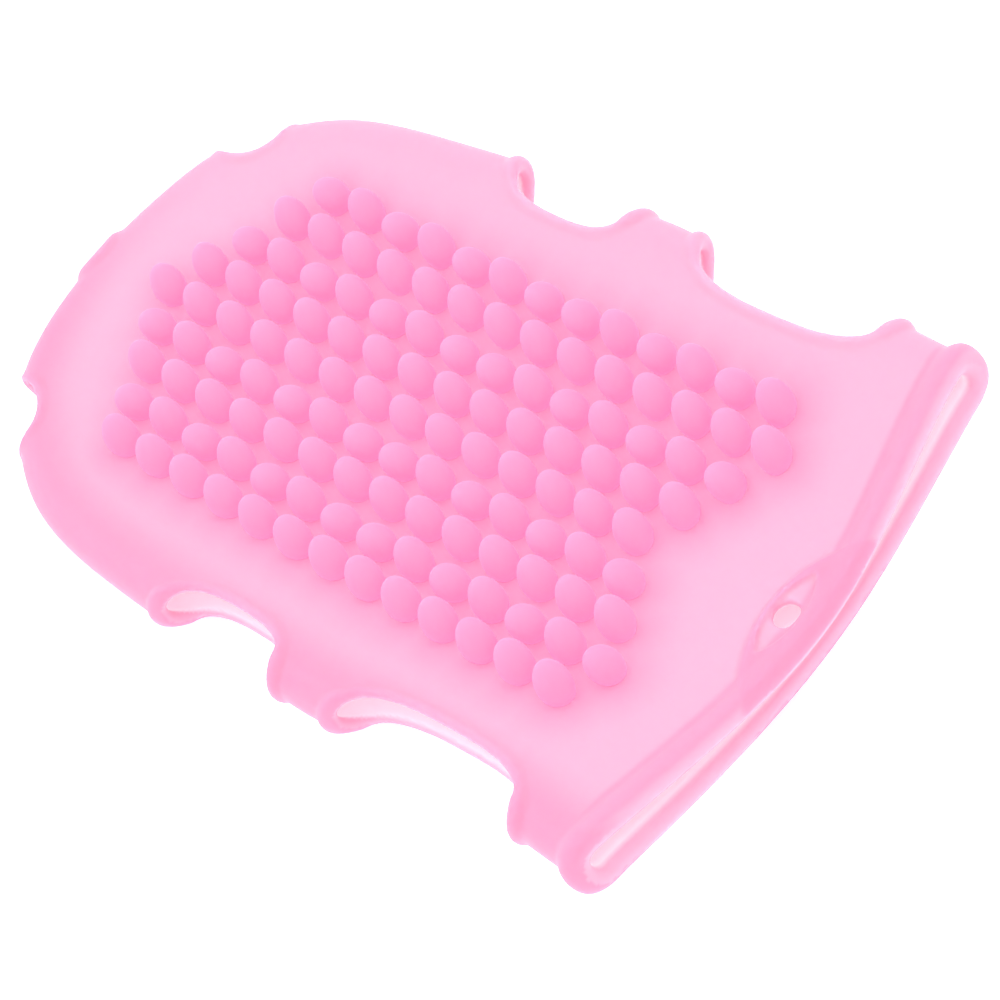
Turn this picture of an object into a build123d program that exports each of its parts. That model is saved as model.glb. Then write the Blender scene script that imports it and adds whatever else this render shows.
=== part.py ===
from build123d import *
import os
from math import asin, atan2, cos, degrees, radians, sin, sqrt

# Moulded silicone grooming mitt, lying nubs up on the back of the hand side.
# +Y points to the fingertips, +X across the hand, +Z up out of the nubs.
# The origin is under the middle of the mitt, on the surface it lies on.  Millimetres.

# ---- driving dimensions ----
nub_pitch = 8.6             # from nub to nub along a column
column_gap = nub_pitch * sin(radians(60))   # the nubs stand in equilateral triangles
columns_each_side = 4
nubs_in_column = 14
nubs_in_edge_column = 13
first_nub_y = 63.9          # the middle column's nub nearest the fingertips
nub_height = 6.5            # above the palm sheet
nub_radius = 3.1
nub_belly = 2.9             # height at which a nub is widest
nub_foot_radius = 1.5
nub_foot_gap = 0.5          # nubs stand clear of the sheet so that they can lean

sheet = 1.3                 # palm panel and side walls
back_sheet = 1.5
palm_low = 7.55             # height of the palm sheet's middle surface at its lowest point
back_low = 0.25             # the same for the back sheet; its underside is cut flat at zero
dip_y = -4.9                # where both sheets are lowest
palm_across_r = 141.0       # the palm sheet curves up towards both sides ...
palm_along_r = 700.0        # ... and a little towards fingertips and cuff
back_across_r = 163.0
back_along_r = 570.0

half_width = 48.0           # to the line where the panels turn into the side walls
cuff_line = [(0, -84.15), (20, -82.85), (36, -81.3), (46, -80.9)]   # where the mitt ends on the palm
cuff_back_gain = [1.65, 1.0, 0.2, 0]    # how much sooner it ends on the back
rim_right = [(0, 82.2), (14.5, 80.3), (27.5, 74.6), (38.3, 62.3), (42.7, 54.1), (45.3, 45.0), (47.2, 28.9), (48, 13.9)]

lip_width = 1.7
lip_extra = 0.9             # how much thicker a lip is than the sheet
lip_tuck = 0.6              # how far a lip's wall part runs into its sheet parts

# openings in the side walls: place on the edge, half length, half height, depth of the scallop
shoulder_share = 0.38       # place on the curved rim, as a share of its length
shoulder_half = (7.8, 5.2)
shoulder_depth = 1.2
front_opening_y = 4.4
front_half = (15.5, 6.2)
rear_opening_y = -44.6
rear_half = (21.5, 6.2)
side_depth = 3.6
vent_half = (4.7, 2.6)      # the small vent at the fingertips
vent_depth = -1.0           # it stays outside the panels' edge
vent_lip_width = 1.2

bead_radius = 2.25          # round bead at the mouth
tab_half = 14.6             # hang tab: half length along the cuff
tab_apex_y = -75.2
tab_base_y = -80.95
tab_base_bow = 0.9          # the tab's lower edge follows the cuff's point
tab_raise = 1.2
tab_recess_half = (7.5, 2.1)
tab_recess = 0.6
hang_hole_y = -79.3
hang_hole_radius = 2.4


def sag(radius, distance):
    """How far a circle of this radius has risen at a distance from its lowest point."""
    return radius - sqrt(radius ** 2 - distance ** 2)


def palm_z(x, y):
    """Height of the palm sheet's middle surface."""
    ring = palm_along_r - sag(palm_across_r, x)
    return palm_low + palm_along_r - sqrt(ring ** 2 - (y - dip_y) ** 2)


def back_z(x, y):
    """Height of the back sheet's middle surface."""
    ring = back_along_r - sag(back_across_r, x)
    return back_low + back_along_r - sqrt(ring ** 2 - (y - dip_y) ** 2)


def dish(low, across_r, along_r, thickness):
    """Slab curved both ways, with its middle surface lowest at (0, dip_y, low)."""
    reach = degrees(asin(60 / across_r))
    centre = (0, low + across_r)
    under = CenterArc(centre, across_r + thickness / 2, 270 - reach, 2 * reach)
    over = CenterArc(centre, across_r - thickness / 2, 270 - reach, 2 * reach)
    ends = [Line(under @ 0, over @ 0), Line(under @ 1, over @ 1)]
    section = Pos(0, dip_y, 0) * (Plane.XZ * make_face(Curve() + [under, over] + ends))
    axis = Axis((0, dip_y, low + along_r), (1, 0, 0))
    swing = degrees(asin(105 / along_r))
    return revolve(section.rotate(axis, -swing), axis, 2 * swing)


def prism(face, low=-10, high=60):
    """Upright prism on a plan face drawn at z = 0."""
    return extrude(Pos(0, 0, low) * face, high - low)


def panel_outline():
    """Plan of both panels: rounded fingertips, straight sides, shallow point at the cuff."""
    right = Spline(rim_right, tangents=((1, 0), (0, -1)))
    left = mirror(right, about=Plane.YZ)
    half = [(half_width, rim_right[-1][1]), (half_width, cuff_line[-1][1])] + cuff_line[2:0:-1]
    cuff = Polyline(half + cuff_line[:1] + [(-x, y) for x, y in reversed(half)])
    return make_face(Curve() + [right, cuff, left])


def wall_section(x, y, turn, thickness, tuck=0.0):
    """Half ring that joins the palm sheet to the back sheet at one place on the rim.

    With a tuck, its two ends run on that far into the sheets."""
    top = palm_z(x, y)
    bottom = back_z(x, y)
    big = (top - bottom + thickness) / 2
    small = big - thickness
    edges = [CenterArc((0, 0), big, -90, 180), CenterArc((0, 0), small, -90, 180)]
    for end in (1, -1):
        corners = [(0, end * big), (-tuck, end * big), (-tuck, end * small), (0, end * small)]
        edges.append(Polyline(corners if tuck else corners[::3]))
    facing = (cos(radians(turn)), sin(radians(turn)), 0)
    normal = (sin(radians(turn)), -cos(radians(turn)), 0)
    place = Plane(origin=(x, y, (top + bottom) / 2), x_dir=facing, z_dir=normal)
    return place * make_face(Curve() + edges)


def rim_place(share):
    """Place on the right half of the curved rim, at a share of its length, and the way it faces."""
    curve = Spline(rim_right, tangents=((1, 0), (0, -1)))
    point = curve @ share
    along = curve % share
    return (point.X, point.Y), degrees(atan2(along.X, -along.Y))


def rim_section(share, thickness, tuck=0.0):
    """Half ring on the curved rim, at a share of its length; negative shares are on the left."""
    (x, y), turn = rim_place(abs(share))
    if share < 0:
        return wall_section(-x, y, 180 - turn, thickness, tuck)
    return wall_section(x, y, turn, thickness, tuck)


def fingertip_wall(thickness, tuck, steps):
    """Side wall round the fingertips; steps count away from the middle, left ones negative."""
    return loft([rim_section(shoulder_share * step / 5, thickness, tuck) for step in steps])


def finger_side_wall(thickness, tuck):
    """Side wall from the shoulder opening to the front side opening."""
    shares = [shoulder_share + (1 - shoulder_share) * i / 5 for i in range(6)]
    sections = [rim_section(share, thickness, tuck) for share in shares]
    sections.append(wall_section(half_width, front_opening_y, 0, thickness, tuck))
    return loft(sections)


def straight_wall(y_front, y_rear, thickness, tuck):
    """Side wall along the straight part of the rim."""
    middle = (y_front + y_rear) / 2
    return loft([wall_section(half_width, y, 0, thickness, tuck) for y in (y_front, middle, y_rear)])


def opening_tool(place, turn, half, depth, grow=0.0):
    """Cutter for an opening: an oval seen from outside, with a curved inner edge seen from above."""
    x, y = place
    centre_z = (palm_z(x, y) + back_z(x, y)) / 2
    long_half = half[0] + grow
    high_half = half[1] + grow
    frame = Location((x, y, centre_z), (0, 0, turn))
    oval = extrude(Plane.YZ * Ellipse(long_half, high_half), 14, both=True)
    corner = 0.65 * half[0]
    bow = 1.5 * half[0] / 20
    radius = (corner ** 2 + bow ** 2) / (2 * bow) + grow
    inner = Pos(-depth - grow + radius, 0, 0) * Cylinder(radius, 40)
    return frame * (oval & inner)


def lip(stocks, tool, wide_tool):
    """Thickened ring round one opening, out of the thick panels and walls beside it."""
    parts = [(stock & wide_tool) - tool for stock in stocks]
    ring = parts[0]
    for part in parts[1:]:
        ring = ring + part
    return ring


def cuff_bead():
    """Round bead that follows the mouth: over the palm sheet's edge and back under."""
    ends = [(51.6, 0.62), (53.0, 0.0), (51.6, -0.62)]
    over = [(x, y, palm_z(x, y)) for x, y in cuff_line]
    under = [(x, y + gain, back_z(x, y + gain)) for (x, y), gain in zip(cuff_line, cuff_back_gain)]
    top = over[-1][2]
    bottom = under[-1][2]
    middle = (top + bottom) / 2
    side = [(x, cuff_line[-1][1], middle + share * (top - bottom) / 2 * 1.1) for x, share in ends]
    right = over[1:] + side + under[:0:-1]
    left = [(-x, y, z) for x, y, z in reversed(right)]
    route = [over[0]] + right + [under[0]] + left
    path = FilletPolyline(*route, radius=2.6, close=True)
    start = Plane(origin=path @ 0, z_dir=path % 0)
    return sweep(start * Circle(bead_radius), path=path)


def nub_profile():
    """Half section of one nub about its own axis: a narrow foot, a round belly and an oval top."""
    foot = (nub_foot_radius, nub_foot_gap)
    flank = Spline([foot, (nub_radius, nub_belly)], tangents=((1, 1), (0, 1)))
    top = Spline([(nub_radius, nub_belly), (0, nub_height)], tangents=((0, 1), (-1, 0)))
    middle = Polyline((0, nub_height), (0, nub_foot_gap), foot)
    return make_face(Curve() + [flank, top, middle])


def nub_column(column, nub):
    """All nubs of one column, each square to the palm sheet where it stands."""
    count = nubs_in_edge_column if abs(column) == columns_each_side else nubs_in_column
    x = column * column_gap
    nubs = []
    for i in range(count):
        y = first_nub_y - (i + abs(column) / 2) * nub_pitch
        tilt_x = degrees(asin((y - dip_y) / palm_along_r))
        tilt_y = -degrees(asin(x / palm_across_r))
        root = Location((x, y, palm_z(x, y) + sheet / 2), (tilt_x, tilt_y, 0))
        nubs.append(root * nub)
    return Compound(children=nubs)


def tab_outline():
    """Plan of the hang tab, half a lens that ends against the bead."""
    arc = ThreePointArc((-tab_half, tab_base_y), (0, tab_apex_y), (tab_half, tab_base_y))
    close = Polyline((tab_half, tab_base_y), (0, tab_base_y - tab_base_bow), (-tab_half, tab_base_y))
    return prism(make_face(Curve() + [arc, close]))


def palm_layer(height, thickness):
    """Slab that follows the palm sheet at a height above its middle surface."""
    return dish(palm_low + height, palm_across_r - height, palm_along_r - height, thickness)


def hang_tab():
    """Half-lens tab on the palm sheet at the cuff, with a recess and the hang hole."""
    on_top = sheet / 2 + tab_raise
    plate = palm_layer(on_top - tab_raise / 2, tab_raise) & tab_outline()
    half, depth = tab_recess_half
    radius = (half ** 2 + depth ** 2) / (2 * depth)
    lens = [Pos(0, hang_hole_y + 0.1 + side * (radius - depth), 10) * Cylinder(radius, 40) for side in (1, -1)]
    recess = palm_layer(on_top, 2 * tab_recess) & lens[0] & lens[1]
    return plate - recess - hang_hole()


def hang_hole():
    """Upright hole through the tab and the palm sheet below it."""
    return Pos(0, hang_hole_y, 15) * Cylinder(hang_hole_radius, 12)


os.makedirs("parts", exist_ok=True)

outline = prism(panel_outline())
table = Pos(0, 0, -20) * Box(300, 300, 40)
bead = cuff_bead()


def sheets(extra):
    """Palm sheet and back sheet over the whole plan, with extra thickness if asked."""
    palm = dish(palm_low, palm_across_r, palm_along_r, sheet + extra) & outline
    back = dish(back_low, back_across_r, back_along_r, back_sheet + extra) & outline
    return palm - bead, back - table - bead


def walls(extra, tuck):
    """The right side's walls before the openings are cut."""
    size = (sheet + extra, tuck)
    made = {
        "fingertip": fingertip_wall(*size, range(6)),
        "finger_side": finger_side_wall(*size),
        "middle_side": straight_wall(front_opening_y, rear_opening_y, *size),
        "cuff_side": straight_wall(rear_opening_y, cuff_line[-1][1], *size),
    }
    return {name: wall - bead for name, wall in made.items()}


# cutters for the openings on the right, each with a wider one that bounds its lip
places = {
    "shoulder": (*rim_place(shoulder_share), shoulder_half, shoulder_depth),
    "front": ((half_width, front_opening_y), 0, front_half, side_depth),
    "rear": ((half_width, rear_opening_y), 0, rear_half, side_depth),
}
beside = {
    "shoulder": ("fingertip", "finger_side"),
    "front": ("finger_side", "middle_side"),
    "rear": ("middle_side", "cuff_side"),
}
tools = {name: opening_tool(*place) for name, place in places.items()}
wide_tools = {name: opening_tool(*place, grow=lip_width) for name, place in places.items()}
vent_place = ((0, rim_right[0][1]), 90, vent_half, vent_depth)
vent = opening_tool(*vent_place)
wide_vent = opening_tool(*vent_place, grow=vent_lip_width)

palm_panel, back_panel = sheets(0)
thick_palm, thick_back = sheets(lip_extra)
thin_walls = {name: wall - outline for name, wall in walls(0, 0).items()}
thick_walls = walls(lip_extra, lip_tuck)

nodes = {"cuff_bead": bead, "hang_tab": hang_tab()}
for tool in wide_tools.values():
    for cutter in (tool, mirror(tool, about=Plane.YZ)):
        palm_panel = palm_panel - cutter
        back_panel = back_panel - cutter
nodes["palm_panel"] = palm_panel - hang_hole()
nodes["back_panel"] = back_panel.solids().sort_by(SortBy.VOLUME)[-1]    # without the pieces cut out of it

thick_fingertip = fingertip_wall(sheet + lip_extra, 0, range(-2, 3)) - outline
nodes["fingertip_vent_lip"] = (thick_fingertip & wide_vent) - vent
wide_tools["vent"] = wide_vent
for name, first, second in (
        ("fingertip_wall", "vent", "shoulder"),
        ("finger_side_wall", "shoulder", "front"),
        ("middle_side_wall", "front", "rear"),
        ("cuff_side_wall", "rear", "rear")):
    wall = thin_walls[name.removesuffix("_wall")] - wide_tools[first] - wide_tools[second]
    nodes[name + "_right"] = wall
    nodes[name + "_left"] = mirror(wall, about=Plane.YZ)
for name, neighbours in beside.items():
    stocks = [thick_palm, thick_back] + [thick_walls[wall] for wall in neighbours]
    ring = lip(stocks, tools[name], wide_tools[name])
    nodes[name + "_opening_lip_right"] = ring
    nodes[name + "_opening_lip_left"] = mirror(ring, about=Plane.YZ)

nub = revolve(Plane.XZ * nub_profile(), Axis.Z)
for column in range(-columns_each_side, columns_each_side + 1):
    side = "left" if column < 0 else "right"
    name = "nub_column_middle" if column == 0 else f"nub_column_{side}_{abs(column)}"
    nodes[name] = nub_column(column, nub)

for name, shape in nodes.items():
    solids = shape.solids()
    body = solids[0] if len(solids) == 1 else Compound(children=list(solids))
    export_step(body, f"parts/{name}.step")
    print(f"{name}: {len(solids)} solids, {shape.volume:.0f} mm3")
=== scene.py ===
"""Looks of the moulded silicone grooming mitt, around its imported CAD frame.

Lengths below are in millimetres and are turned into metres where a mesh is made.
+Y points to the fingertips, +X across the hand, +Z up out of the nubs.
"""

from math import cos, pi, radians, sin

import bpy
import numpy as np
from mathutils import Matrix, Vector


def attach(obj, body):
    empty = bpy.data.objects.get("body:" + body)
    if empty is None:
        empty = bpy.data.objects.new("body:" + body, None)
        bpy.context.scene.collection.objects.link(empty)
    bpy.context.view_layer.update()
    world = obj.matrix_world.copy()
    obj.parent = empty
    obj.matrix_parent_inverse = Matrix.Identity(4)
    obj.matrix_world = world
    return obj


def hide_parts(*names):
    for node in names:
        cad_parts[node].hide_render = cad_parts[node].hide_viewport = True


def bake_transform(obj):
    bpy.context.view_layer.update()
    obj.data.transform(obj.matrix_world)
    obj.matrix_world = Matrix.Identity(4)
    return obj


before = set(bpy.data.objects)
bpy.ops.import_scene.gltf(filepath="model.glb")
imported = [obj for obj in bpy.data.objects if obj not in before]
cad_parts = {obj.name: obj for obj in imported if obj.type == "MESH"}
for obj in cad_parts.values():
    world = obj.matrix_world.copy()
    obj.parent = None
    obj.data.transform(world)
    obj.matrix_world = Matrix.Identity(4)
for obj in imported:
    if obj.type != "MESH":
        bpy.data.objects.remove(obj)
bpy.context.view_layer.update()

MM = 0.001

# ---- the mitt's driving dimensions: as in its CAD source, but for the openings' ends, the mouth's edges,
# ---- the lips and the nubs' shapes, which are worked out more closely here ----
nub_pitch = 8.6
column_gap = nub_pitch * sin(radians(60))
columns_each_side = 4
nubs_in_column = 14
nubs_in_edge_column = 13
first_nub_y = 63.9
nub_root_radius = 2.35
nub_radius = 3.1
nub_belly = 2.9             # height at which a nub is widest
tall_nub = (6.8, 0.9, 1.9)  # height, and how far the tip stands from over the root
short_nub = (6.2, -0.5, 1.3)
short_nub_columns = (-3, -1, 2, 4)

sheet = 1.3
back_sheet = 1.5
palm_low = 7.55
back_low = 0.25
dip_y = -4.9
palm_across_r = 141.0
palm_along_r = 700.0
back_across_r = 163.0
back_along_r = 570.0

half_width = 48.0
rim_right = [(0, 82.2), (14.5, 80.3), (27.5, 74.6), (38.3, 62.3), (42.7, 54.1), (45.3, 45.0), (47.2, 28.9),
             (half_width, 13.9)]
cuff_palm = (-79.6, 4.55)   # where the palm ends at the sides, and how far its middle stands out past that
cuff_back = (-81.6, 1.6)    # the same for the back

# the soft mitt lies a little out of true
cuff_slump = 1.6            # how far the cuff's two corners lie off to the left
finger_slump = (0.95, 0.3)  # the same for the fingers' sides, and how much more that is on the right
middle_bulge = 0.5          # how far the walls between the front and rear openings stand out
side_shift = 0.9            # how far each side lies along the mitt from where it would: right on, left back

# each opening: half length along the edge, half girth round the side wall, fullness (2 is an ellipse,
# more is nearer to a rectangle), and how much thicker its lip is on the wall
vent = (4.7, 3.0, 2.5, 0.6)
# the openings at the sides, each with its place on the edge first
openings = [
    ((32.6, 70.1), 8.2, 7.2, 2.0, -0.2),
    ((48.0, 3.6), 14.7, 10.3, 2.8, 0.6),
    ((48.0, -45.0), 21.9, 10.8, 2.8, 0.6),
]
lip_radius = 0.95           # round lips along the openings
bead_radius = 2.25
tab_apex_y = -75.2
tab_radius = 21.0
tab_raise = 1.1
hang_hole_y = -79.3
hang_hole_radius = 2.4
recess_half = (8.2, 3.1)    # the eye-shaped recess round the hang hole
recess_depth = 0.8

# ---- the grid in which the sleeve's surface is worked out ----
step = 0.5
grid_x = 59.0
grid_y = 90.0
grid_z = (-1.5, 26.0)


# ---------------------------------------------------------------- formulas
def sag(radius, distance):
    """How far a circle has risen at a distance from its lowest point."""
    return radius - np.sqrt(radius ** 2 - distance ** 2)


def palm_z(x, y):
    """Height of the palm sheet's middle surface."""
    ring = palm_along_r - sag(palm_across_r, x)
    return palm_low + palm_along_r - np.sqrt(ring ** 2 - (y - dip_y) ** 2)


def back_z(x, y):
    """Height of the back sheet's middle surface."""
    ring = back_along_r - sag(back_across_r, x)
    return back_low + back_along_r - np.sqrt(ring ** 2 - (y - dip_y) ** 2)


def ease(t):
    """Smooth step from 0 to 1."""
    t = np.clip(t, 0, 1)
    return t * t * (3 - 2 * t)


def soft_min(a, b, width):
    """Smaller of two fields, with their corner rounded over a width."""
    share = np.clip(0.5 + 0.5 * (b - a) / width, 0, 1)
    return b + (a - b) * share - width * share * (1 - share)


def soft_max(a, b, width):
    return -soft_min(-a, -b, width)


# ---------------------------------------------------------------- the outline
def clamped_spline(points, start, end, count):
    """Points and directions along a cubic spline with given end directions."""
    p = np.array(points, float)
    gaps = np.linalg.norm(np.diff(p, axis=0), axis=1)
    n = len(p)
    system = np.eye(n)
    right = np.zeros((n, 2))
    right[0] = start
    right[-1] = end
    for i in range(1, n - 1):
        before = gaps[i - 1]
        after = gaps[i]
        system[i, i - 1:i + 2] = after, 2 * (before + after), before
        right[i] = 3 * (after * (p[i] - p[i - 1]) / before + before * (p[i + 1] - p[i]) / after)
    slopes = np.linalg.solve(system, right)
    knots = np.concatenate([[0], np.cumsum(gaps)])
    at = np.linspace(0, knots[-1], count)
    i = np.clip(np.searchsorted(knots, at, side="right") - 1, 0, n - 2)
    gap = gaps[i][:, None]
    t = (at - knots[i])[:, None] / gap
    a, b = p[i], p[i + 1]
    u, v = slopes[i] * gap, slopes[i + 1] * gap
    place = a * (1 + 2 * t) * (1 - t) ** 2 + u * t * (1 - t) ** 2
    place = place + b * t * t * (3 - 2 * t) + v * t * t * (t - 1)
    way = 6 * t * (t - 1) * (a - b) + u * (1 - t) * (1 - 3 * t) + v * t * (3 * t - 2)
    return place, way / np.linalg.norm(way, axis=1)[:, None]


def right_edge():
    """Places and outward directions along the right half of the outline, carried on past the cuff."""
    curve, way = clamped_spline(rim_right, (1, 0), (0, -1), 260)
    straight = np.array([(half_width, y) for y in np.arange(rim_right[-1][1] - 1, -110, -1.0)])
    out = np.stack([-way[:, 1], way[:, 0]], axis=1)
    places = np.concatenate([curve, straight])
    outward = np.concatenate([out, np.tile([1.0, 0.0], (len(straight), 1))])
    return places, outward


def edge_distance(x, y):
    """Signed distance to the outline in plan, distance along it from the fingertips' middle, and the
    place where the sheets' heights are read.

    Near the edge that place lags behind, so that the sheets level out into the side walls."""
    places, outward = right_edge()
    travel = np.concatenate([[0], np.cumsum(np.linalg.norm(np.diff(places, axis=0), axis=1))])
    p = np.stack([np.abs(x).ravel(), y.ravel()], axis=1)
    nearest = np.empty(len(p), int)
    for first in range(0, len(p), 20000):
        part = p[first:first + 20000]
        away = ((part[:, None, :] - places[None]) ** 2).sum(2)
        nearest[first:first + 20000] = away.argmin(1)
    foot = places[nearest]
    out = outward[nearest]
    distance = ((p - foot) * out).sum(1)
    onward = travel[nearest] + ((p - foot) * np.stack([out[:, 1], -out[:, 0]], axis=1)).sum(1)
    lag = soft_min(distance, np.full_like(distance, 1.5), 6.0)
    read = p + (lag - distance)[:, None] * out
    return [a.reshape(x.shape) for a in (distance, onward, read[:, 0], read[:, 1])]


def along_edge(place):
    """Distance along the outline from the fingertips' middle to a place on it."""
    _, onward, _, _ = edge_distance(np.array([[place[0]]], float), np.array([[place[1]]], float))
    return float(onward[0, 0])


# ---------------------------------------------------------------- the sleeve as a field
def opening_field(along, around, half_length, half_girth, fullness):
    """Negative inside one opening, a full oval drawn on the sleeve's own surface.

    along runs with the outline from the opening's middle; around runs over the wall from its
    outermost line."""
    a = np.abs(along) / half_length
    b = around / half_girth
    level = np.maximum((a ** fullness + b ** fullness) ** (1 / fullness), 1e-3)
    slope = np.hypot(a ** (fullness - 1) / half_length, b ** (fullness - 1) / half_girth)
    slope = slope * level ** (1 - fullness)
    return (level - 1) / np.maximum(slope, 0.02)


def bag_fields(edge, rise, half):
    """Distance outside the middle of the sheets and walls, and how far round the side wall a point is.

    rise is the height over the mitt's middle, and half is half the height from sheet to sheet."""
    bag = np.hypot(np.maximum(edge, 0), rise) - half
    around = half * np.arctan2(np.abs(rise), np.maximum(edge, 0.001)) + np.maximum(-edge, 0)
    return bag, around


def opening_fields(onward, around, on_wall):
    """Distance outside the nearest opening, and the radius of its lip."""
    cutters = [(np.abs(onward), *vent)]
    cutters += [(onward - along_edge(place), *shape) for place, *shape in openings]
    fields = [opening_field(along, around, *shape) for along, *shape, _ in cutters]
    thicker = [extra for *_, extra in cutters]
    nearest = np.argmin(fields, axis=0)
    return np.min(fields, axis=0), lip_radius + np.array(thicker, np.float32)[nearest] * on_wall


def mouth_y(x, above):
    """Where the mitt ends at the cuff: a shallow rounded point, longer on the palm than on the back."""
    inward = ease(np.abs(x) / 46)
    palm = cuff_palm[0] - cuff_palm[1] * (1 - inward)
    back = cuff_back[0] - cuff_back[1] * (1 - inward)
    return back + (palm - back) * above


def tab_field(x, y):
    """Negative inside the hang tab in plan."""
    return np.hypot(x, y - (tab_apex_y - tab_radius)) - tab_radius


def recess_field(x, y):
    """Negative inside the eye-shaped recess round the hang hole, which lies between two arcs."""
    half_length, half_depth = recess_half
    radius = (half_length ** 2 + half_depth ** 2) / (2 * half_depth)
    reach = radius - half_depth
    centre_y = hang_hole_y - 0.1
    one = np.hypot(x, y - centre_y + reach) - radius
    other = np.hypot(x, y - centre_y - reach) - radius
    return np.maximum(one, other)


def sleeve_field(x, y, z):
    """Negative inside the sleeve's silicone. x and y are plan grids, z is the list of heights."""
    edge, onward, read_x, read_y = edge_distance(x, y)
    top = palm_z(read_x, read_y)
    bottom = back_z(read_x, read_y)
    steps = (x[1, 0] - x[0, 0], y[0, 1] - y[0, 0])
    slant = np.gradient((top + bottom) / 2, *steps)
    level = 1 / np.sqrt(1 + slant[0] ** 2 + slant[1] ** 2)

    edge, onward, level, x, y = (a[:, :, None].astype(np.float32) for a in (edge, onward, level, x, y))
    middle = ((top + bottom) / 2)[:, :, None].astype(np.float32)
    half = ((top - bottom) / 2)[:, :, None].astype(np.float32)
    z = z[None, None, :].astype(np.float32)

    bag, around = bag_fields(edge, (z - middle) * level, half * level)
    below = ease((middle - z) / half)
    thick = (sheet + (back_sheet - sheet) * below) / 2
    opening, lip_size = opening_fields(onward, around, ease((edge + 1.5) / 3.5))
    lip = np.hypot(bag, opening) - lip_size

    # the hang tab stands up from the palm sheet, with a shallow lens sunk into it
    above = z > middle
    tab = tab_raise * ease(-tab_field(x, y) / 1.6 + 0.3)
    raised = tab - recess_depth * ease(-recess_field(x, y) / 0.7 + 0.4)
    skin = np.maximum(bag - thick - above * raised, -bag - thick)
    skin = np.maximum(skin, -opening)
    skin = soft_min(skin, lip, 0.8)
    hole = np.hypot(x, y - hang_hole_y) - hang_hole_radius
    skin = soft_max(skin, -hole, 0.5)

    mouth = y - mouth_y(x, ease((z - middle) / half / 2 + 0.5))
    skin = np.maximum(skin, -mouth)
    bead = np.hypot(bag, mouth) - bead_radius
    solid = soft_min(skin, bead, 1.8)
    return soft_max(solid, 0.0 - z, 0.3)


# ---------------------------------------------------------------- meshes
def surface_net(field, corner, size):
    """Points and quads of a field's zero surface, with one point in each cell that it crosses."""
    inside = field < 0
    cell_shape = tuple(n - 1 for n in field.shape)
    count = np.zeros(cell_shape, np.int8)
    for i in (0, 1):
        for j in (0, 1):
            for k in (0, 1):
                count += inside[i:i + cell_shape[0], j:j + cell_shape[1], k:k + cell_shape[2]]
    crossed = (count > 0) & (count < 8)
    cells = np.argwhere(crossed)
    number = np.full(cell_shape, -1, np.int32)
    number[crossed] = np.arange(len(cells))

    total = np.zeros((len(cells), 3))
    hits = np.zeros(len(cells))
    for axis in range(3):
        unit = np.eye(3, dtype=int)[axis]
        one = np.eye(3, dtype=int)[(axis + 1) % 3]
        two = np.eye(3, dtype=int)[(axis + 2) % 3]
        for offset in (0 * unit, one, two, one + two):
            low = cells + offset
            high = low + unit
            a = field[tuple(low.T)]
            b = field[tuple(high.T)]
            crosses = (a < 0) != (b < 0)
            share = np.where(crosses, a / np.where(crosses, a - b, 1), 0)
            total += (offset + share[:, None] * unit) * crosses[:, None]
            hits += crosses
    points = corner + size * (cells + total / hits[:, None])

    quads = []
    for axis in range(3):
        unit = np.eye(3, dtype=int)[axis]
        one = np.eye(3, dtype=int)[(axis + 1) % 3]
        two = np.eye(3, dtype=int)[(axis + 2) % 3]
        low = inside[tuple(slice(0, n - u) for n, u in zip(field.shape, unit))]
        high = inside[tuple(slice(u, n) for n, u in zip(field.shape, unit))]
        for solid_below in (True, False):
            found = np.argwhere((low != high) & (low == solid_below))
            around = [number[tuple((found - shift).T)] for shift in (0 * unit, one, one + two, two)]
            if not solid_below:
                around.reverse()
            quads.append(np.stack(around, axis=1))
    return points, np.concatenate(quads)


def relax(points, quads, rounds):
    """Moves each point part of the way to the middle of its neighbours, and then back, so nothing shrinks."""
    pairs = np.concatenate([quads[:, [i, (i + 1) % 4]] for i in range(4)])
    near = np.bincount(pairs.ravel(), minlength=len(points))[:, None]
    for i in range(rounds):
        share = 0.5 if i % 2 == 0 else -0.53
        total = np.zeros_like(points)
        for axis in range(3):
            total[:, axis] += np.bincount(pairs[:, 0], points[pairs[:, 1], axis], len(points))
            total[:, axis] += np.bincount(pairs[:, 1], points[pairs[:, 0], axis], len(points))
        points = points + share * (total / near - points)
    return points


def mesh_object(name, points, faces, material, **marks):
    """New smooth-shaded object from points in millimetres, with marks that its material reads."""
    mesh = bpy.data.meshes.new(name)
    mesh.from_pydata((points * MM).tolist(), [], faces)
    mesh.polygons.foreach_set("use_smooth", np.ones(len(mesh.polygons), bool))
    mesh.materials.append(material)
    for mark, values in marks.items():
        mesh.attributes.new(mark, "FLOAT", "POINT").data.foreach_set("value", values.astype(np.float32))
    mesh.update()
    piece = bpy.data.objects.new(name, mesh)
    bpy.context.scene.collection.objects.link(piece)
    return piece


def nub_places(column):
    """Root of each nub in a column, on the palm sheet's face."""
    count = nubs_in_edge_column if abs(column) == columns_each_side else nubs_in_column
    x = column * column_gap
    ys = [first_nub_y - (i + abs(column) / 2) * nub_pitch for i in range(count)]
    return [(x, y, float(palm_z(x, y)) + sheet / 2) for y in ys]


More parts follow.
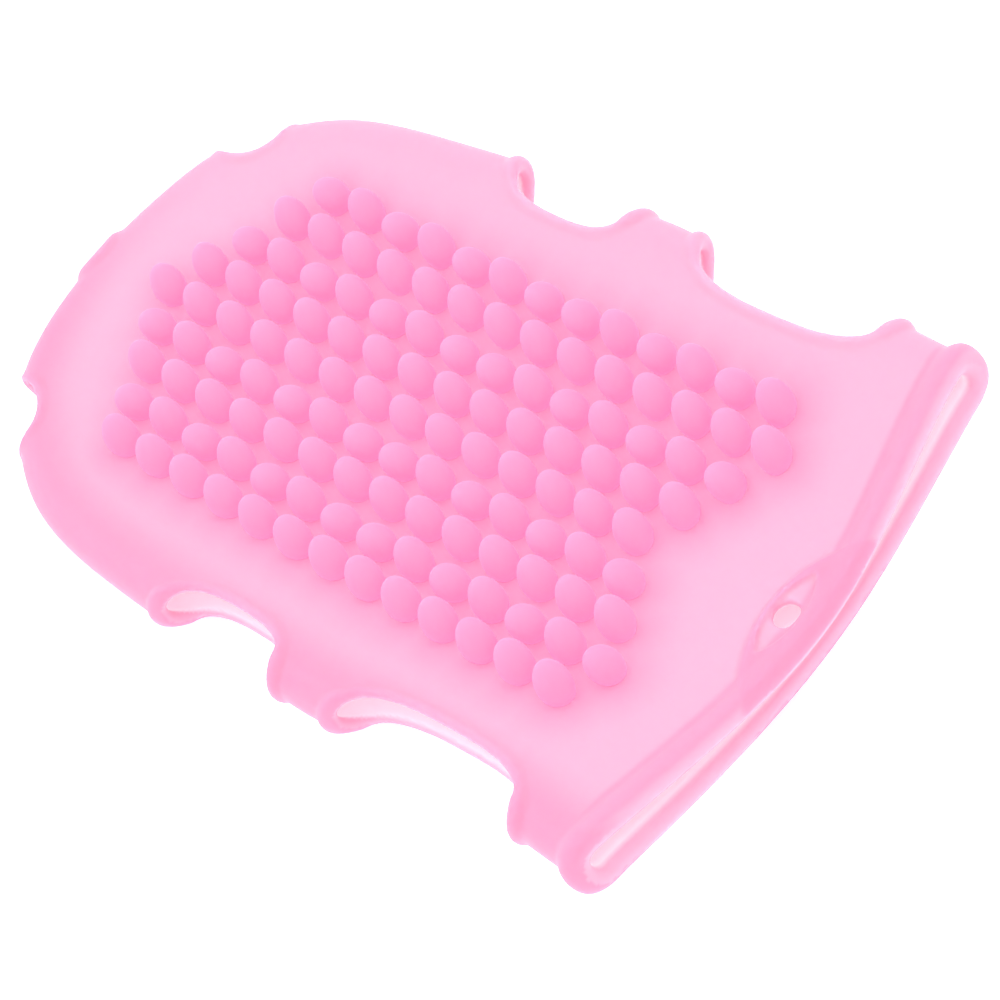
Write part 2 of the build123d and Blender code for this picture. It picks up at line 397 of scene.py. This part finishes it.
def nub_mesh(height, lean_x, lean_y):
    """Points and faces of one nub on its root: plump, rounded and leaning at the tip."""
    around = 40
    low = np.linspace(-0.4, nub_belly, 9)
    swell = np.sin(pi / 2 * np.clip(low / nub_belly, 0, 1))
    low_reach = nub_root_radius + (nub_radius - nub_root_radius) * swell
    swing = np.linspace(0, pi / 2, 13)[1:-1]
    heights = np.concatenate([low, nub_belly + (height - nub_belly) * np.sin(swing)])
    reaches = np.concatenate([low_reach, nub_radius * np.cos(swing) ** 0.95])
    turn = np.linspace(0, 2 * pi, around, endpoint=False)
    share = np.clip(heights / height, 0, 1) ** 1.8
    x = lean_x * share[:, None] + reaches[:, None] * np.cos(turn)
    y = lean_y * share[:, None] + reaches[:, None] * np.sin(turn)
    rings = np.stack([x, y, np.broadcast_to(heights[:, None], x.shape)], axis=2).reshape(-1, 3)
    points = np.concatenate([rings, [(lean_x, lean_y, height), (0, 0, low[0])]])
    tip = len(rings)
    last = tip - around
    faces = []
    for i in range(around):
        j = (i + 1) % around
        for ring in range(0, last, around):
            faces.append((ring + i, ring + j, ring + j + around, ring + i + around))
        faces += [(last + i, last + j, tip), (j, i, tip + 1)]
    return points, faces


# ---------------------------------------------------------------- materials
def mix_node(nodes, links, factor, first, second):
    """Mixes two colours. Each is a socket or a plain colour."""
    node = nodes.new("ShaderNodeMix")
    node.data_type = "RGBA"
    links.new(factor, node.inputs["Factor"])
    for letter, colour in (("A", first), ("B", second)):
        if isinstance(colour, bpy.types.NodeSocket):
            links.new(colour, node.inputs[letter])
        else:
            node.inputs[letter].default_value = (*colour, 1)
    return node.outputs["Result"]


def silicone(name, colour, full_colour, inner_colour, through, depth):
    """Soft translucent silicone. Its colour is fuller where it is thick and, as painted shade, on the side
    walls; inside the mitt it is paler, which is painted light.

    through is a faint glow that stands in for light coming through the silicone. The inside of the mitt
    has such a glow as well, in its own colour."""
    material = bpy.data.materials.new(name)
    material.use_nodes = True
    nodes = material.node_tree.nodes
    links = material.node_tree.links
    shader = nodes["Principled BSDF"]
    shader.inputs["Subsurface Weight"].default_value = 1.0
    shader.inputs["Subsurface Radius"].default_value = (1.0, 0.8, 0.9)
    shader.inputs["Subsurface Scale"].default_value = depth
    shader.inputs["Specular IOR Level"].default_value = 0.25
    shader.inputs["IOR"].default_value = 1.41

    place = nodes.new("ShaderNodeTexCoord")
    clouds = nodes.new("ShaderNodeTexNoise")
    clouds.inputs["Scale"].default_value = 38
    clouds.inputs["Detail"].default_value = 2
    links.new(place.outputs["Object"], clouds.inputs["Vector"])
    # the full colour mark is partly painted shade on the side walls and rim
    full = nodes.new("ShaderNodeAttribute")
    full.attribute_name = "full_colour"
    shift = nodes.new("ShaderNodeMath")
    shift.operation = "MULTIPLY_ADD"
    shift.inputs[1].default_value = 0.14
    links.new(clouds.outputs["Fac"], shift.inputs[0])
    links.new(full.outputs["Fac"], shift.inputs[2])
    level = nodes.new("ShaderNodeMath")
    level.operation = "SUBTRACT"
    level.use_clamp = True
    level.inputs[1].default_value = 0.07
    links.new(shift.outputs[0], level.inputs[0])
    # painted light: the paler colour and glow inside the mitt stand for light coming through the silicone
    inner = nodes.new("ShaderNodeAttribute")
    inner.attribute_name = "inner"
    body = mix_node(nodes, links, level.outputs[0], colour, full_colour)
    links.new(mix_node(nodes, links, inner.outputs["Fac"], body, inner_colour), shader.inputs["Base Color"])
    inner_glow = [0.28 * c for c in inner_colour]
    glow = mix_node(nodes, links, inner.outputs["Fac"], through, inner_glow)
    links.new(glow, shader.inputs["Emission Color"])
    shader.inputs["Emission Strength"].default_value = 1

    grain = nodes.new("ShaderNodeTexNoise")
    grain.inputs["Scale"].default_value = 900
    grain.inputs["Detail"].default_value = 3
    links.new(place.outputs["Object"], grain.inputs["Vector"])
    rough = nodes.new("ShaderNodeMapRange")
    rough.inputs["To Min"].default_value = 0.42
    rough.inputs["To Max"].default_value = 0.62
    links.new(grain.outputs["Fac"], rough.inputs["Value"])
    links.new(rough.outputs["Result"], shader.inputs["Roughness"])
    bump = nodes.new("ShaderNodeBump")
    bump.inputs["Strength"].default_value = 0.12
    bump.inputs["Distance"].default_value = 0.0002
    links.new(grain.outputs["Fac"], bump.inputs["Height"])
    links.new(bump.outputs["Normal"], shader.inputs["Normal"])
    return material


def linear(red, green, blue):
    """A light screen colour of 0 to 255 as the linear values that a shader takes."""
    return tuple(((c / 255 + 0.055) / 1.055) ** 2.4 for c in (red, green, blue))


# painted light: the pale colour inside the mitt
painted_light_cream = linear(255, 214, 223)
sheet_silicone = silicone("sheet_silicone", linear(255, 175, 202), linear(255, 151, 186), painted_light_cream,
                          through=(0, 0, 0), depth=0.0014)
nub_silicone = silicone("nub_silicone", linear(203, 126, 157), linear(196, 120, 150), painted_light_cream,
                        through=(0.5, 0.165, 0.305), depth=0.004)


# ---------------------------------------------------------------- pieces
def colour_marks(x, y, z):
    """Where the sleeve's colour is full, partly as painted shade on the side walls, and where painted light
    makes the inside of the mitt paler.
    """
    edge, onward, read_x, read_y = edge_distance(x, y)
    middle = (palm_z(read_x, read_y) + back_z(read_x, read_y)) / 2
    half = (palm_z(read_x, read_y) - back_z(read_x, read_y)) / 2
    bag, around = bag_fields(edge, z - middle, half)
    opening, _ = opening_fields(onward, around, 0 * edge)

    # fuller colour round the nubs, on the hang tab and where the bead meets the palm, and painted shade on
    # the side walls and rim
    reach = np.full(len(x), 1e9)
    for column in range(-columns_each_side, columns_each_side + 1):
        for nub_x, nub_y, _ in nub_places(column):
            reach = np.minimum(reach, np.hypot(x - nub_x, y - nub_y))
    near_nubs = 0.5 * (1 - ease((reach - 3.0) / 9.0))
    on_tab = 0.9 * ease(-tab_field(x, y) / 2 + 0.5) * ease(recess_field(x, y) / 1.2 + 0.5)
    # painted shade: the walls and the rim are fuller in colour on the left than on the right
    left_painted_shade = ease(0.6 - x / 60)
    on_wall = (0.3 + 0.55 * left_painted_shade) * ease((edge + 6 + 4 * left_painted_shade) / 10)
    by_bead = 0.75 * ease((3.4 - np.abs(y - mouth_y(x, 1.0) - 1.2)) / 1.2) * ease((z - middle) / half + 0.7)
    full = np.max([near_nubs, on_tab, on_wall, by_bead], axis=0) * (bag > 0)

    mouth = y - mouth_y(x, ease((z - middle) / half / 2 + 0.5))
    # painted light: the inside of the mitt is made paler, as if lit through the silicone
    inner = ease(0.2 - bag / 0.4) * ease((mouth + 1.2) / 1.2) * ease(opening / 0.8 + 0.75)
    return full, inner


def slumped(points):
    """The sleeve as it lies: the cuff's corners and the fingers' sides are a little to one side."""
    x, y, z = points.T
    side = np.sign(x)
    slump = cuff_slump * ease((-58 - y) / 24)
    slump += (finger_slump[0] + finger_slump[1] * side) * ease(1 - np.abs(y - 45) / 40)
    slump -= middle_bulge * side * ease(1 - np.abs(y + 17) / 14)
    lain_x = x - slump * ease(np.abs(x) / 44)
    lain_y = y + side_shift * side * ease((np.abs(lain_x) - 12) / 30) * ease((y + 60) / 30)
    return np.stack([lain_x, lain_y, z], axis=1)


def make_sleeve():
    xs = np.arange(-grid_x, grid_x + step, step)
    ys = np.arange(-grid_y, grid_y + step, step)
    zs = np.arange(*grid_z, step)
    field = sleeve_field(*np.meshgrid(xs, ys, indexing="ij"), zs)
    points, quads = surface_net(field, np.array([xs[0], ys[0], zs[0]]), step)
    points = relax(points, quads, 4)
    full, inner = colour_marks(*points.T)
    points = slumped(points)
    piece = mesh_object("mitt_sleeve", points, quads.tolist(), sheet_silicone, full_colour=full, inner=inner)

    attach(piece, "sleeve")
    replaced = [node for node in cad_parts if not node.startswith("nub_column")]
    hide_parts(*sorted(replaced))


def make_nub_column(column, node):
    """All nubs of one column, each with its foot set to the palm sheet's slope."""
    points = []
    faces = []
    for i, root in enumerate(nub_places(column)):
        short = column in short_nub_columns and (i % 2 == 0) == (i < 7)
        shape, rings = nub_mesh(*(short_nub if short else tall_nub))
        # the foot follows the palm sheet's slope
        slope_x = root[0] / palm_across_r
        slope_y = (root[1] - dip_y) / palm_along_r
        shape[:, 2] += np.clip(1 - shape[:, 2] / 2, 0, 1) * (slope_x * shape[:, 0] + slope_y * shape[:, 1])
        start = i * len(shape)
        points.append(shape + np.array(root))
        faces += [tuple(start + v for v in face) for face in rings]
    rise = np.concatenate(points)
    full = ease((rise[:, 2] - palm_z(rise[:, 0], rise[:, 1]) - 1) / 3.5)
    piece = mesh_object(node + "_soft", rise, faces, nub_silicone, full_colour=full)
    piece.visible_shadow = False    # light passes through the small soft nubs
    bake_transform(piece)
    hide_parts(node)


make_sleeve()
for column in range(-columns_each_side, columns_each_side + 1):
    side = "left" if column < 0 else "right"
    make_nub_column(column, "nub_column_middle" if column == 0 else f"nub_column_{side}_{abs(column)}")


# ---------------------------------------------------------------- studio
def make_floor():
    mesh = bpy.data.meshes.new("floor")
    reach = 3.0
    corners = [(-reach, -reach, 0), (reach, -reach, 0), (reach, reach, 0), (-reach, reach, 0)]
    mesh.from_pydata(corners, [], [(0, 1, 2, 3)])
    material = bpy.data.materials.new("pale_floor")
    material.use_nodes = True
    shader = material.node_tree.nodes["Principled BSDF"]
    shader.inputs["Base Color"].default_value = (0.95, 0.95, 0.95, 1)
    shader.inputs["Roughness"].default_value = 0.9
    shader.inputs["Specular IOR Level"].default_value = 0.1
    shader.inputs["Emission Color"].default_value = (1, 1, 1, 1)
    shader.inputs["Emission Strength"].default_value = 0.45
    mesh.materials.append(material)
    floor = bpy.data.objects.new("floor", mesh)
    floor.location.z = -0.00002
    bpy.context.scene.collection.objects.link(floor)


def make_world():
    world = bpy.data.worlds.new("studio")
    bpy.context.scene.world = world
    world.use_nodes = True
    light = world.node_tree.nodes["Background"]
    light.inputs["Color"].default_value = (1, 1, 1, 1)
    light.inputs["Strength"].default_value = 0.88


def make_softbox(name, place, target, size, watts):
    light = bpy.data.lights.new(name, "AREA")
    light.shape = "SQUARE"
    light.size = size
    light.energy = watts
    lamp = bpy.data.objects.new(name, light)
    lamp.location = place
    lamp.rotation_euler = (Vector(target) - Vector(place)).to_track_quat("-Z", "Y").to_euler()
    bpy.context.scene.collection.objects.link(lamp)


def make_camera():
    """Looks down on the palm from the cuff's left, turned so that the fingertips point to the upper left."""
    azimuth, elevation, roll = radians(-25.358), radians(51.118), radians(-30.6155)
    target = Vector((-5.22, -21.93, 11.35)) * MM
    distance = 0.4903
    back = Vector((sin(azimuth) * cos(elevation), -cos(azimuth) * cos(elevation), sin(elevation)))
    right = Vector((cos(azimuth), sin(azimuth), 0))
    up = back.cross(right)
    turned_right = cos(roll) * right + sin(roll) * up
    turned_up = cos(roll) * up - sin(roll) * right
    data = bpy.data.cameras.new("camera")
    data.lens = 106.2
    data.sensor_width = 36
    data.clip_start = 0.01
    camera = bpy.data.objects.new("camera", data)
    turn = Matrix((turned_right, turned_up, back)).transposed().to_4x4()
    camera.matrix_world = Matrix.Translation(target + back * distance) @ turn
    bpy.context.scene.collection.objects.link(camera)
    bpy.context.scene.camera = camera


make_floor()
make_world()
make_softbox("key", (0.1, 1.0, 1.0), (0, 0, 0), 0.8, 2.2)
make_softbox("overhead", (-0.1, -0.1, 1.6), (0, 0, 0), 2.4, 20)
make_camera()
bpy.context.scene.view_settings.view_transform = "Standard"
